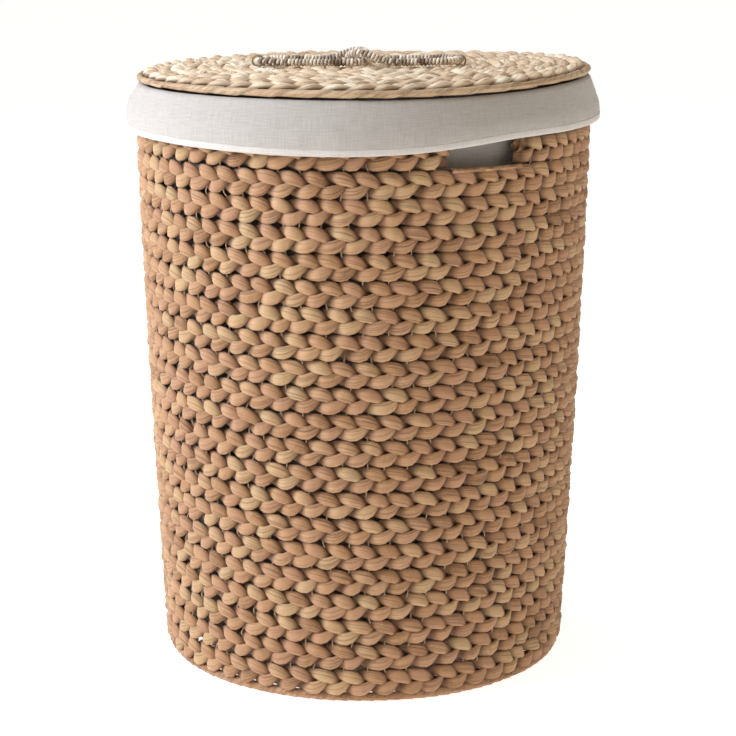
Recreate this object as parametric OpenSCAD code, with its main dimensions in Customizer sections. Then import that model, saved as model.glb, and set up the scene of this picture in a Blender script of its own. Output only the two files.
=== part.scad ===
// Round laundry basket plaited from dried water hyacinth leaf, with a lift-off
// lid, a cloth liner folded over the rim, two cut hand-holes and a wrapped cord
// handle. Stands on z = 0 with its axis on +Z; the front faces -Y.

/* [Wall] */
// Outer radius of the wall where it meets the foot ring
foot_r = 216; // [160:1:280]
// Outer radius of the wall under the rim
rim_r = 237.5; // [180:0.5:300]
// How far the wall bulges beyond a straight cone at half height
wall_bulge = 2; // [0:0.5:8]
// Number of plaited courses stacked in the wall
course_n = 22; // [12:1:26]
// Height from one course to the next
course_pitch = 26.5; // [18:0.5:34]
// Thickness of a plait from the inside of the wall to the outside
plait_t = 16; // [10:0.5:22]

/* [Rings] */
// Diameter of the leaf-wrapped ring the basket stands on
foot_d = 9; // [6:0.5:14]
// Height of the flat worn under the foot ring
foot_flat = 0.5; // [0.2:0.1:1]
// Diameter of the leaf-wrapped ring on top of the wall
rim_d = 9; // [6:0.5:14]
// Diameter of the leaf-wrapped ring round the lid
lid_ring_d = 9; // [7:0.5:14]
// Diameter of the wrapped rod along the sill of each hand-hole
sill_d = 4.5; // [3:0.5:8]

/* [Wire frame] */
// Diameter of the steel wire of the frame
wire_d = 4; // [2.5:0.5:6]
// Number of upright wires
upright_n = 8; // [4:1:12]

/* [Hand-holes] */
// Direction of the front hand-hole, in degrees from -Y towards +X
hole_turn = 29; // [0:1:45]
// Width of a hand-hole measured along the wall
hole_w = 75; // [60:1:110]
// Number of courses a hand-hole interrupts, counted from the rim
hole_courses = 2; // [1:1:3]

/* [Floor] */
// Thickness of the woven floor
mat_t = 14; // [8:0.5:20]
// Rounds of plait from the centre of the floor to its edge
mat_rounds = 8; // [4:1:10]

/* [Liner] */
// Thickness of the cloth
cloth_t = 1.2; // [0.8:0.1:2]
// Height from the hem of the turned-down cuff to the top of the wall
cuff_drop = 38; // [25:1:120]
// How far the cuff stands off the wall at its hem
cuff_flare = 3.5; // [1:0.5:12]
// Height of the folded hem
hem_h = 6; // [4:0.5:15]
// Thickness of the folded hem
hem_t = 2; // [1.6:0.1:4]

/* [Lid] */
// How far the lid reaches beyond the centre of the rim ring
lid_over = 6; // [2:0.5:15]
// Thickness of the plait in the lid
lid_plait_t = 12; // [7:0.5:16]
// Rounds of plait from the centre of the lid to its ring
lid_rounds = 9; // [5:1:10]

/* [Lid handle] */
// Diameter of the wrapped cord
cord_d = 8.5; // [6:0.5:12]
// Distance between the two lashings that hold the cord loops
handle_span = 209; // [180:1:260]
// Width of a cord loop across its two strands, over the outside
loop_w = 58; // [40:1:80]
// How far the centre lines of the two loops reach past each other
loop_overlap = 22.5; // [18:0.5:30]
// Offset of the handle from the middle of the lid, along X and Y
handle_shift = [-4.7, -8];
// Thickness of the twine
twine_d = 1.8; // [1:0.1:3]
// Turns of twine in each lashing
lashing_turns = 3; // [2:1:4]

/* [Clearances] */
// Gap left between stacked courses and between rounds of plait
plait_gap = 0.3; // [0.1:0.1:1]
// Gap between pieces that lift off each other
lift_gap = 0.35; // [0.3:0.05:1]
// Gap between the two cords where one passes over the other
link_gap = 1; // [0.5:0.1:2]
// Free height between the floor and the lowest wire
ground_gap = 1; // [0.5:0.5:3]

/* [Hidden] */
$fn = 96;
foot_h = foot_d - foot_flat;
wall_h = course_n * course_pitch;
wall_top = foot_h + wall_h;
hole_z = wall_top - hole_courses * course_pitch;
hole_half = asin(hole_w / 2 / rim_r);

// wire frame: the uprights stand just inside the wall, with a hoop inside each end
upright_z0 = ground_gap + wire_d / 2;
upright_z1 = wall_top - wire_d;
upright_in = plait_t + plait_gap + wire_d / 2;
top_hoop_z = upright_z1 - wire_d;
floor_hoop_z = ground_gap + wire_d * 1.5;
hoop_in = wire_d + 0.02;

// floor
mat_z = floor_hoop_z + wire_d / 2 + plait_gap;
mat_top = mat_z + mat_t;
mat_r = upright_r(mat_z) - wire_d / 2 - plait_gap;

// rim and liner
rim_ring_r = wall_r(wall_top) - plait_t / 2;
rim_ring_z = wall_top + rim_d / 2 + plait_gap;
bag_in = hoop_in + wire_d / 2 + lift_gap + cloth_t / 2;
bag_z = mat_top + lift_gap + cloth_t;
fold_r = rim_d / 2 + lift_gap + cloth_t / 2;
cuff_r = wall_r(wall_top) + lift_gap + cloth_t;
hem_z = wall_top - cuff_drop;

// lid
lid_z = rim_ring_z + fold_r + cloth_t / 2 + lift_gap;
lid_ring_r = rim_ring_r + lid_over - lid_ring_d / 2;
spoke_z = lid_z + wire_d / 2;
lid_plait_z = lid_z + wire_d + plait_gap;
lid_top = lid_plait_z + lid_plait_t;
lid_weave_r = lid_ring_r - lid_ring_d / 2 - plait_gap;
lid_round_pitch = lid_weave_r / (lid_rounds - 0.5);

// lid handle
loop_r = (loop_w - cord_d) / 2;
loop_z = lid_top + lift_gap + cord_d / 2;
loop_reach = handle_span / 2;
loop_straight = loop_reach + loop_overlap / 2 - 2 * loop_r;
loop_round = 2 * PI * loop_r + 2 * loop_straight;
crossing = acos((loop_r - loop_overlap / 2) / loop_r) / 180 * PI * loop_r;
crossing_rise = cord_d + link_gap;
rise_length = 38;
cord_rings = 56;
cord_sides = 12;
lashing_slack = 0.25;
lashing_pitch = twine_d * 1.4;
lashing_r = cord_d / 2 + lift_gap + lashing_slack + twine_d / 2;

// depth of the running threads in their grooves, as a share of the plait
thread_depth = 0.2;

wood = "tan";
dark_wood = "peru";
wire_colour = "dimgray";
cloth = "linen";

function two_digits(i) = str(i < 10 ? "0" : "", i);
function course_name(i) = str("course_", two_digits(i));
function coil_name(i) = str("lid_coil_", i);

// outer radius of the wall at height z
function wall_r(z) =
    let (t = (z - foot_h) / wall_h)
    foot_r + (rim_r - foot_r) * t + 4 * wall_bulge * t * (1 - t);

function course_z(i) = foot_h + (i - 0.5) * course_pitch;
function course_r(i) = wall_r(course_z(i)) - plait_t / 2;

// radius of the centre line of the uprights at height z, a straight line just
// inside the lowest and the highest course
function upright_r(z) =
    let (z1 = course_z(1), z2 = course_z(course_n), t = (z - z1) / (z2 - z1))
    wall_r(z1) + (wall_r(z2) - wall_r(z1)) * t - upright_in;

// centre radius of the cloth bag at height z
function bag_r(z) = upright_r(z) - bag_in;

// oval outline of width w and height h
function oval(w, h, n = 24) =
    [for (i = [0 : n - 1]) [w / 2 * cos(360 * i / n), h / 2 * sin(360 * i / n)]];

// outline of a strip of thickness t along points first to last of a line of
// [radius, height] points
function strip(line, t, first, last) =
    let (
        end = len(line) - 1,
        side = [for (i = [0 : end])
            let (d = line[min(i + 1, end)] - line[max(i - 1, 0)])
            [d[1], -d[0]] / norm(d) * t / 2]
    )
    concat([for (i = [first : last]) line[i] + side[i]],
           [for (i = [last : -1 : first]) line[i] - side[i]]);

// line of the cloth from the top of the bag, over the rim ring, down to the hem
fold_line = concat(
    [[bag_r(upright_z1), upright_z1], [bag_r(upright_z1), upright_z1 + 1]],
    [for (a = [165 : -15 : 15]) [rim_ring_r + fold_r * cos(a), rim_ring_z + fold_r * sin(a)]],
    [[cuff_r, wall_top - course_pitch / 3],
     [cuff_r + cuff_flare, hem_z + hem_h + 1],
     [cuff_r + cuff_flare, hem_z + hem_h]]
);
// the fold ends and the cuff begins at the last point round the rim ring
fold_end = len(fold_line) - 4;

// point at arc length s round the centre line of a loop lying flat: x grows from
// the inner end towards the lashing, and the line starts at the inner end
function loop_point(s) =
    let (
        q = PI * loop_r / 2,
        inner = loop_r - loop_overlap / 2,
        outer = inner + loop_straight,
        s2 = s - q - loop_straight,
        s3 = s2 - 2 * q,
        s4 = s3 - loop_straight,
        turn = 180 / PI / loop_r
    )
    s < q ? [inner - loop_r * cos(s * turn), -loop_r * sin(s * turn)] :
    s2 < 0 ? [inner + s - q, -loop_r] :
    s3 < 0 ? [outer + loop_r * sin(s2 * turn), -loop_r * cos(s2 * turn)] :
    s4 < 0 ? [outer - s3, loop_r] :
    [inner - loop_r * sin(s4 * turn), loop_r * cos(s4 * turn)];

// height of a cord above the flat at arc length s, where it passes over the
// other cord at arc length c
function loop_rise(s, c) =
    let (d = min(abs(s - c), loop_round - abs(s - c)))
    d < rise_length ? crossing_rise * pow(cos(90 * d / rise_length), 2) : 0;

module ring(r, z, d) {
    translate([0, 0, z]) rotate_extrude() translate([r, 0]) circle(d = d);
}

module plait_ring(r, z, w, h) {
    translate([0, 0, z]) rotate_extrude() translate([r, 0]) polygon(oval(w, h));
}

// outline of a running thread, with few sides because it is so thin and so long
module thread_section(r) {
    translate([r, 0]) circle(d = twine_d, $fn = 8);
}

// copies its children on the two stretches of wall between the hand-holes
module between_holes() {
    for (side = [0, 180])
        rotate([0, 0, hole_turn - 90 + hole_half + side])
            rotate_extrude(angle = 180 - 2 * hole_half) children();
}

module foot_ring() {
    color(dark_wood) rotate_extrude()
        translate([foot_r - plait_t / 2, foot_h - foot_d / 2])
            intersection() {
                circle(d = foot_d);
                translate([-foot_d, foot_flat - foot_d / 2]) square(2 * foot_d);
            }
}

module rim_ring() {
    color(dark_wood) ring(rim_ring_r, rim_ring_z, rim_d);
}

module course(i) {
    h = course_pitch - plait_gap;
    color(i % 2 == 0 ? wood : "burlywood")
        if (course_z(i) < hole_z) plait_ring(course_r(i), course_z(i), plait_t, h);
        else translate([0, 0, course_z(i)])
            between_holes() translate([course_r(i), 0]) polygon(oval(plait_t, h));
}

// one running thread in the groove above each course but the last
module wall_stitching() {
    color("wheat") for (i = [1 : course_n - 1]) {
        z = foot_h + i * course_pitch;
        r = wall_r(z) - plait_t * thread_depth;
        translate([0, 0, z])
            if (z <= hole_z) rotate_extrude() thread_section(r);
            else between_holes() thread_section(r);
    }
}

module hand_hole_sill(side) {
    trim = hole_half - 1;
    color(dark_wood) translate([0, 0, hole_z + sill_d / 2])
        rotate([0, 0, hole_turn - 90 - trim + side])
            rotate_extrude(angle = 2 * trim)
                translate([wall_r(hole_z) - plait_t / 2, 0]) circle(d = sill_d);
}

module frame_uprights() {
    lean = atan2(upright_r(upright_z1) - upright_r(upright_z0), upright_z1 - upright_z0);
    color(wire_colour) for (i = [0 : upright_n - 1])
        rotate([0, 0, hole_turn - 90 + (i + 0.5) * 360 / upright_n])
            translate([upright_r(upright_z0), 0, upright_z0]) rotate([0, lean, 0])
                cylinder(d = wire_d, h = (upright_z1 - upright_z0) / cos(lean));
}

module frame_top_hoop() {
    color(wire_colour) ring(upright_r(top_hoop_z) - hoop_in, top_hoop_z, wire_d);
}

module frame_floor_hoop() {
    color(wire_colour) ring(upright_r(floor_hoop_z) - hoop_in, floor_hoop_z, wire_d);
}

// four rods that meet at the axis
module spokes(r, z) {
    color(wire_colour) for (a = [0 : 90 : 270])
        translate([0, 0, z]) rotate([0, 0, a]) translate([wire_d / 2 + plait_gap, 0, 0])
            rotate([0, 90, 0]) cylinder(d = wire_d, h = r - wire_d / 2 - plait_gap);
}

module frame_floor_spokes() {
    spokes(upright_r(floor_hoop_z) - wire_d / 2, ground_gap + wire_d / 2);
}

// one plait wound in a flat spiral, as a disc with a groove between its rounds
module floor_mat() {
    pitch = mat_r / (mat_rounds - 0.5);
    steps = 8;
    last = (mat_rounds - 0.5) * steps;
    crown = [for (i = [0 : last])
        [pitch * i / steps, mat_t / 2 * (0.75 + 0.25 * abs(cos(180 * i / steps)))]];
    color(wood) translate([0, 0, mat_z + mat_t / 2]) rotate_extrude()
        polygon(concat(crown, [for (i = [last : -1 : 0]) [crown[i][0], -crown[i][1]]]));
}

module liner_bottom() {
    color(cloth) translate([0, 0, bag_z - cloth_t])
        cylinder(r = bag_r(bag_z) + cloth_t / 2, h = cloth_t);
}

module liner_side() {
    color(cloth) rotate_extrude() polygon([
        [bag_r(bag_z) - cloth_t / 2, bag_z],
        [bag_r(bag_z) + cloth_t / 2, bag_z],
        [bag_r(upright_z1) + cloth_t / 2, upright_z1],
        [bag_r(upright_z1) - cloth_t / 2, upright_z1]
    ]);
}

// from the top of the bag out and over the rim ring
module liner_fold() {
    color(cloth) rotate_extrude() polygon(strip(fold_line, cloth_t, 0, fold_end));
}

// from the rim ring down the outside to the hem
module liner_cuff() {
    color(cloth) rotate_extrude()
        polygon(strip(fold_line, cloth_t, fold_end, len(fold_line) - 1));
}

module liner_hem() {
    color("ivory") rotate_extrude()
        translate([cuff_r + cuff_flare - cloth_t / 2, hem_z]) square([hem_t, hem_h]);
}

module lid_ring() {
    color(dark_wood) ring(lid_ring_r, lid_z + lid_ring_d / 2, lid_ring_d);
}

module lid_spokes() {
    spokes(lid_ring_r - lid_ring_d / 2, spoke_z);
}

module lid_centre() {
    w = lid_round_pitch - plait_gap;
    color(wood) translate([0, 0, lid_plait_z + lid_plait_t / 2]) rotate_extrude()
        polygon([for (p = oval(w, lid_plait_t)) if (p[0] > -0.001) [max(p[0], 0), p[1]]]);
}

module lid_coil(i) {
    color(i % 2 == 0 ? wood : "burlywood")
        plait_ring(i * lid_round_pitch, lid_plait_z + lid_plait_t / 2,
                   lid_round_pitch - plait_gap, lid_plait_t);
}

// one running thread in the groove outside each round of the lid but the last
module lid_stitching() {
    color("wheat") for (i = [0 : lid_rounds - 2])
        translate([0, 0, lid_top - lid_plait_t * thread_depth])
            rotate_extrude() thread_section((i + 0.5) * lid_round_pitch);
}

module handle_lashing(side) {
    color("darkkhaki") for (i = [0 : lashing_turns - 1])
        translate([handle_shift[0] + side * loop_reach,
                   handle_shift[1] + (i - (lashing_turns - 1) / 2) * lashing_pitch, loop_z])
            rotate([90, 0, 0]) ring(lashing_r, 0, twine_d);
}

// a closed loop of cord; side is -1 for the left loop and 1 for the right one.
// The right loop passes over at the front crossing, the left one at the back.
module handle_loop(side) {
    over = side > 0 ? crossing : loop_round - crossing;
    step = loop_round / cord_rings;
    function at(s) = concat(loop_point(s), loop_rise(s, over));
    points = [for (k = [0 : cord_rings - 1])
        let (
            s = k * step,
            e = step / 8,
            d = at((s + e) % loop_round) - at((s - e + loop_round) % loop_round),
            along = d / norm(d),
            level = cross([0, 0, 1], along),
            flat = level / norm(level),
            up = cross(along, flat)
        )
        for (j = [0 : cord_sides - 1])
            at(s) + cord_d / 2 * (cos(360 * j / cord_sides) * flat + sin(360 * j / cord_sides) * up)];
    function corner(k, j) = (k % cord_rings) * cord_sides + j % cord_sides;
    faces = [for (k = [0 : cord_rings - 1], j = [0 : cord_sides - 1], half = [0, 1])
        half == 0 ? [corner(k, j), corner(k + 1, j), corner(k + 1, j + 1)] :
                    [corner(k, j), corner(k + 1, j + 1), corner(k, j + 1)]];
    color(side > 0 ? "rosybrown" : "tan")
        translate([handle_shift[0], handle_shift[1], loop_z])
            mirror([side < 0 ? 1 : 0, 0, 0]) polyhedron(points, faces);
}

foot_ring();
rim_ring();
wall_stitching();
for (i = [1 : course_n])
    course(i);
hand_hole_sill(0);  // hand_hole_sill_front
hand_hole_sill(180);  // hand_hole_sill_back
frame_uprights();
frame_top_hoop();
frame_floor_hoop();
frame_floor_spokes();
floor_mat();
liner_bottom();
liner_side();
liner_fold();
liner_cuff();
liner_hem();
lid_ring();
lid_spokes();
lid_centre();
lid_stitching();
for (i = [1 : lid_rounds - 1])
    lid_coil(i);
handle_lashing(-1);  // handle_lashing_left
handle_lashing(1);  // handle_lashing_right
handle_loop(-1);  // handle_loop_left
handle_loop(1);  // handle_loop_right
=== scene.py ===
# %% [markdown]
# # A plaited laundry basket with a lid and a cloth liner
# The basket is made of dried water hyacinth leaf. Three strands of leaf are
# plaited into long flat bands, the bands are stacked as 22 courses and sewn to
# each other over a wire frame, and thin leaf is wrapped round a wire to make each
# ring. A linen bag hangs inside and its top is folded out over the rim.
#
# The design file settles every size. This script gives each piece its real
# surface: the plaits, the wraps, the stitches and the cloth.

import ast
import math
import random

import bmesh
import bpy
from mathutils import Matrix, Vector, noise


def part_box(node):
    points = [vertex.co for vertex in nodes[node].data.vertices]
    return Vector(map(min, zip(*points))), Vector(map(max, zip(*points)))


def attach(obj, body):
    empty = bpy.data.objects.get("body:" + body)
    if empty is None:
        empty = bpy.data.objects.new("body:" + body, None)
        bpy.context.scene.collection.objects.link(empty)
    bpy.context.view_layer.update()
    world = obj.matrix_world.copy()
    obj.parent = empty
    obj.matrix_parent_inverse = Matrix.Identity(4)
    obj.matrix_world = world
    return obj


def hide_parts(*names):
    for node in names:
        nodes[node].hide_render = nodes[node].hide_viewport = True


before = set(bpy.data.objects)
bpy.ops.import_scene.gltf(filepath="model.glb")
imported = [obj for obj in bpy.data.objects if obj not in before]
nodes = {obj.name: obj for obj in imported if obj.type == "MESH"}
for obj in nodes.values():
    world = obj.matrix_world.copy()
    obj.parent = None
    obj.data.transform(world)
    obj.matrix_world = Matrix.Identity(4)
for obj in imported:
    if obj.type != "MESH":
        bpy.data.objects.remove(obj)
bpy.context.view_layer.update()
MM = 0.001
TURN = 2 * math.pi

# %% [markdown]
# ## Helpers
# A node tree is a recipe. `add` puts one node in it with its settings and
# links. Plaits and leaf patterns are sums of sines, which take many Math nodes,
# so `formula` reads a line of arithmetic and adds the nodes for it. `grow` runs a
# geometry recipe and keeps the result as a plain mesh.

# %% Node helpers
def add(tree, kind, values=(), **settings):
    """Add a node. values are put on its inputs by place or by name; a socket is linked."""
    node = tree.nodes.new(kind)
    for key, value in settings.items():
        setattr(node, key, value)
    pairs = values.items() if isinstance(values, dict) else enumerate(values)
    for key, value in pairs:
        if isinstance(key, str):
            socket = next(s for s in node.inputs if s.name == key and s.enabled)
        else:
            socket = node.inputs[key]
        if isinstance(value, bpy.types.NodeSocket):
            tree.links.new(value, socket)
        else:
            socket.default_value = value
    return node


SIGNS = {ast.Add: "ADD", ast.Sub: "SUBTRACT", ast.Mult: "MULTIPLY", ast.Div: "DIVIDE",
         ast.Pow: "POWER"}
NAMES = {"sin": "SINE", "cos": "COSINE", "abs": "ABSOLUTE", "floor": "FLOOR",
         "frac": "FRACT", "min": "MINIMUM", "max": "MAXIMUM", "sqrt": "SQRT"}


def formula(tree, text, **values):
    """Add the Math nodes for a line of arithmetic; its names are sockets or numbers."""
    def build(part):
        if isinstance(part, ast.Name):
            return values[part.id]
        if isinstance(part, ast.Constant):
            return part.value
        if isinstance(part, ast.UnaryOp):
            return add(tree, "ShaderNodeMath", [0, build(part.operand)],
                       operation="SUBTRACT").outputs[0]
        if isinstance(part, ast.BinOp):
            terms, sign = [build(part.left), build(part.right)], SIGNS[type(part.op)]
        else:
            terms, sign = [build(a) for a in part.args], NAMES[part.func.id]
        return add(tree, "ShaderNodeMath", terms, operation=sign).outputs[0]
    return build(ast.parse(text).body[0].value)


def new_recipe(name, inputs):
    """Start a Geometry Nodes tree with named inputs; returns the tree and its input sockets."""
    tree = bpy.data.node_groups.new(name, "GeometryNodeTree")
    tree.interface.new_socket("Geometry", in_out="INPUT",
                              socket_type="NodeSocketGeometry")
    for label, kind, value in inputs:
        socket = tree.interface.new_socket(label, in_out="INPUT",
                                           socket_type="NodeSocket" + kind)
        if value is not None:
            socket.default_value = value
    tree.interface.new_socket("Geometry", in_out="OUTPUT",
                              socket_type="NodeSocketGeometry")
    start = tree.nodes.new("NodeGroupInput")
    return tree, {s.name: s for s in start.outputs}


def close_recipe(tree, skin, finish):
    """End a tree: smooth shading, copies turned into real geometry, and the finish."""
    for kind, values in (("GeometryNodeSetShadeSmooth", {"Shade Smooth": True}),
                         ("GeometryNodeRealizeInstances", {}),
                         ("GeometryNodeSetMaterial", {"Material": finish})):
        skin = add(tree, kind, {"Geometry": skin} | values).outputs[0]
    add(tree, "NodeGroupOutput", [skin])
    return tree


def grow(name, tree, sizes, base=None):
    """Run a recipe on a base mesh and keep the result as a plain mesh object."""
    base = base or bpy.data.meshes.new(name + "_base")
    source = bpy.data.objects.new(name + "_source", base)
    bpy.context.scene.collection.objects.link(source)
    modifier = source.modifiers.new(tree.name, "NODES")
    modifier.node_group = tree
    for socket in tree.interface.items_tree:
        if socket.in_out == "INPUT" and socket.name in sizes:
            modifier[socket.identifier] = sizes[socket.name]
    evaluated = source.evaluated_get(bpy.context.evaluated_depsgraph_get())
    mesh = bpy.data.meshes.new_from_object(evaluated)
    mesh.name = name
    bpy.data.objects.remove(source)
    piece = bpy.data.objects.new(name, mesh)
    bpy.context.scene.collection.objects.link(piece)
    return piece


def linear(hex_colour):
    """An sRGB colour such as '#c2a384' as linear RGBA."""
    parts = [int(hex_colour[i:i + 2], 16) / 255 for i in (1, 3, 5)]
    return [p / 12.92 if p <= 0.04045 else ((p + 0.055) / 1.055) ** 2.4
            for p in parts] + [1]


def new_finish(name):
    """Start a material; returns it, its node tree and its shader."""
    material = bpy.data.materials.new(name)
    material.use_nodes = True
    return material, material.node_tree, material.node_tree.nodes["Principled BSDF"]


def outward(angle):
    """The level direction out of the basket; angles count from the front to the right."""
    return math.sin(angle), -math.cos(angle), 0.0


# %% [markdown]
# ## Camera, floor and light
# The basket is seen from a little above and from straight in front, with a long
# lens. A broad window-like light stands at the left, so that side is bright and
# the front and the right fall into a soft warm shade. The floor is white paper.

# %% Camera
scene = bpy.context.scene
camera = bpy.data.objects.new("camera", bpy.data.cameras.new("camera"))
camera.data.lens = 99.6
camera.data.sensor_width = 36
camera.data.clip_end = 100
camera.location = (0.0047, -2.131, 0.773)
camera.rotation_euler = (math.pi / 2 - 0.22, 0, 0)
scene.collection.objects.link(camera)
scene.camera = camera
scene.view_settings.view_transform = "Standard"
print("camera lens in mm:", camera.data.lens)

# %% Lights and floor
def window(name, place, target, size, power, colour="#ffffff"):
    """A square soft light at place, turned towards target."""
    light = bpy.data.lights.new(name, "AREA")
    light.shape = "SQUARE"
    light.size = size
    light.energy = power
    light.color = linear(colour)[:3]
    lamp = bpy.data.objects.new(name, light)
    lamp.location = place
    towards = Vector(target) - Vector(place)
    lamp.rotation_euler = towards.to_track_quat("-Z", "Y").to_euler()
    scene.collection.objects.link(lamp)
    return lamp


window("window_left", (-1.9, -0.5, 1.6), (0, 0, 0.35), 1.3, 74, "#e8efff")
window("high_fill", (-0.4, 0.3, 3.2), (0, 0, 0.5), 1.6, 15)
window("fill_right", (2.7, -0.9, 1.7), (0, 0, 0.4), 1.8, 11, "#fff2e4")

world = bpy.data.worlds.new("studio")
scene.world = world
world.use_nodes = True
backdrop = world.node_tree.nodes["Background"]
backdrop.inputs["Color"].default_value = linear("#fff4e8")
backdrop.inputs["Strength"].default_value = 0.31

floor_mesh = bpy.data.meshes.new("paper_floor")
floor_mesh.from_pydata([(-40, -40, 0), (40, -40, 0), (40, 40, 0), (-40, 40, 0)], [],
                       [(0, 1, 2, 3)])
floor = bpy.data.objects.new("paper_floor", floor_mesh)
scene.collection.objects.link(floor)
paper, _, paper_shader = new_finish("white_paper")
paper_shader.inputs["Base Color"].default_value = linear("#f4f4f4")
paper_shader.inputs["Roughness"].default_value = 0.9
paper_shader.inputs["Emission Color"].default_value = linear("#ffffff")
paper_shader.inputs["Emission Strength"].default_value = 0.75
floor_mesh.materials.append(paper)
print("lights:", [light.name for light in bpy.data.lights], "floor:", paper.name)

# %% [markdown]
# ## Finish: dried water hyacinth leaf
# Water hyacinth stalk is split and dried. It is matt with a faint waxy sheen,
# ribbed along its length, and no two pieces are the same: straw, tan, pinkish
# brown or grey-green. Shade is painted into the folds and the low parts of each
# plait. The plaits carry three attributes: `leaf`, a random number for each
# visible leaf, `crown`, how high a spot stands out of its plait, which sets the
# painted shade, and a UV map that runs along the strand in metres,
# so the ribs follow the leaf wherever it goes.

# %% Dried leaf
def dried_leaf(name, palette, shade_colour, rib_mm=1.3, bump=0.5):
    """Dried split leaf: palette runs from the darkest leaf to the palest; the colour after it is
    the painted shade of folds and low parts.
    """
    material, tree, shader = new_finish(name)
    leaf = add(tree, "ShaderNodeAttribute", attribute_name="leaf").outputs["Fac"]
    crown = add(tree, "ShaderNodeAttribute", attribute_name="crown").outputs["Fac"]
    place = add(tree, "ShaderNodeTexCoord").outputs["Object"]
    run = add(tree, "ShaderNodeUVMap", uv_map="UVMap").outputs[0]
    split = add(tree, "ShaderNodeSeparateXYZ", [run])
    along, around = split.outputs[0], split.outputs[1]
    # ribs: long stretched noise that closes round the strand
    rib_reach = 4.2 / rib_mm
    ribs_at = add(tree, "ShaderNodeCombineXYZ", [
        formula(tree, "along * 9 + leaf * 37", along=along, leaf=leaf),
        formula(tree, "cos(around * 6.2832) * k", around=around, k=rib_reach),
        formula(tree, "sin(around * 6.2832) * k", around=around, k=rib_reach)]).outputs[0]
    ribs = add(tree, "ShaderNodeTexNoise", {
        "Vector": ribs_at, "Scale": 1.0, "Detail": 3.0, "Roughness": 0.65}).outputs[0]
    # creases: thin dark lines where a slower noise of the same kind crosses its middle
    folds_at = add(tree, "ShaderNodeVectorMath", [ribs_at, (0.42, 0.42, 0.42)],
                   operation="MULTIPLY").outputs[0]
    folds, blotch, speck = (
        add(tree, "ShaderNodeTexNoise", {"Vector": at, "Scale": scale, "Detail": detail}).outputs[0]
        # creases: thin lines where a slower noise of the same kind crosses its middle, grooved in
        # the bump and darkened as painted shade
        for at, scale, detail in ((folds_at, 1.0, 1.0), (place, 38.0, 2.0), (place, 420.0, 1.0)))
    crease_line = formula(tree, "max(1 - abs(folds - 0.5) * 26, 0)", folds=folds)
    tone = formula(
        tree, "leaf * 0.66 + blotch * 0.34 + (ribs - 0.5) * 0.7 + (speck - 0.5) * 0.2",
        leaf=leaf, blotch=blotch, ribs=ribs, speck=speck)
    ramp = add(tree, "ShaderNodeValToRGB", [tone])
    stops = ramp.color_ramp.elements
    for i, colour in enumerate(palette):
        place_at = i / (len(palette) - 1)
        stop = stops[i] if i < 2 else stops.new(place_at)
        stop.position = place_at
        stop.color = linear(colour)
    # painted shade: the colour darkens towards the shade colour where the leaf lies low in its
    # plait or at the edges of a wrap's turn, and along the crease lines
    shadow = formula(tree, "(0.68 - crown) * 1.3 + (blotch - 0.5) * 0.4",
                     crown=crown, blotch=blotch)
    painted_shade = formula(tree, "min(max(max(shadow, line * 0.5), 0), 0.85)",
                   shadow=shadow, line=crease_line)
    painted_shade_mix = add(tree, "ShaderNodeMix", {"Factor": painted_shade}, data_type="RGBA", blend_type="MIX")
    tree.links.new(ramp.outputs[0], painted_shade_mix.inputs[6])
    painted_shade_mix.inputs[7].default_value = linear(shade_colour)
    tree.links.new(painted_shade_mix.outputs[2], shader.inputs["Base Color"])
    rough = formula(tree, "0.5 + ribs * 0.3", ribs=ribs)
    tree.links.new(rough, shader.inputs["Roughness"])
    height = formula(tree, "ribs + speck * 0.25 - line * 0.35",
                     ribs=ribs, speck=speck, line=crease_line)
    raised = add(tree, "ShaderNodeBump",
                 {"Strength": bump, "Distance": 1.2 * MM, "Height": height})
    tree.links.new(raised.outputs[0], shader.inputs["Normal"])
    shader.inputs["Specular IOR Level"].default_value = 0.35
    shader.inputs["Sheen Weight"].default_value = 0.12
    shader.inputs["Sheen Roughness"].default_value = 0.5
    return material


WALL_LEAF = ["#7a5536", "#9c734d", "#b3885e", "#ab7f5d", "#b89066", "#bb9a6e", "#a58b66"]
# painted light: the lid's rounds, its middle knot and the floor take a paler copy of the wall's
# leaf, which stands in for the top light and sheen that fall on the lid
PAINTED_LIGHT_LEAF = ["#a98a69", "#cbae89", "#dfc6a2", "#d9be9f", "#e8d4b3", "#f1e3c8", "#d9caad"]
EDGE_LEAF = ["#8a6e50", "#ad8e69", "#c0a17a", "#b59471", "#c6ab86", "#a9906e"]
RING_LEAF = ["#75502f", "#98704a", "#b0865c", "#a87d5f", "#bd956a", "#a68c65"]
# the last colour of each finish is the painted shade of its folds and low parts
wall_leaf = dried_leaf("water_hyacinth_plait", WALL_LEAF, "#583a22")
painted_light_leaf = dried_leaf("water_hyacinth_plait_painted_light", PAINTED_LIGHT_LEAF, "#644429")
ring_leaf = dried_leaf("water_hyacinth_wrap", RING_LEAF, "#4a301c")
edge_leaf = dried_leaf("water_hyacinth_wrap_pale", EDGE_LEAF, "#5a3f28")
print("leaf finishes:", wall_leaf.name, painted_light_leaf.name, ring_leaf.name, edge_leaf.name)

# %% [markdown]
# ## The plait
# In a flat three-strand plait each strand swings from edge to edge (one sine)
# and dips under and over at twice that rate (a second sine). The three strands
# are the same path shifted by a third of a period. Seen from outside, the leaves
# then lie as a row of arrowheads that point to the right.
#
# One recipe makes every plait. It can stand on edge, as in the wall, or lie flat,
# as in the lid and the floor, and `Pace` 0.5 winds it as a spiral instead of a ring.

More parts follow.
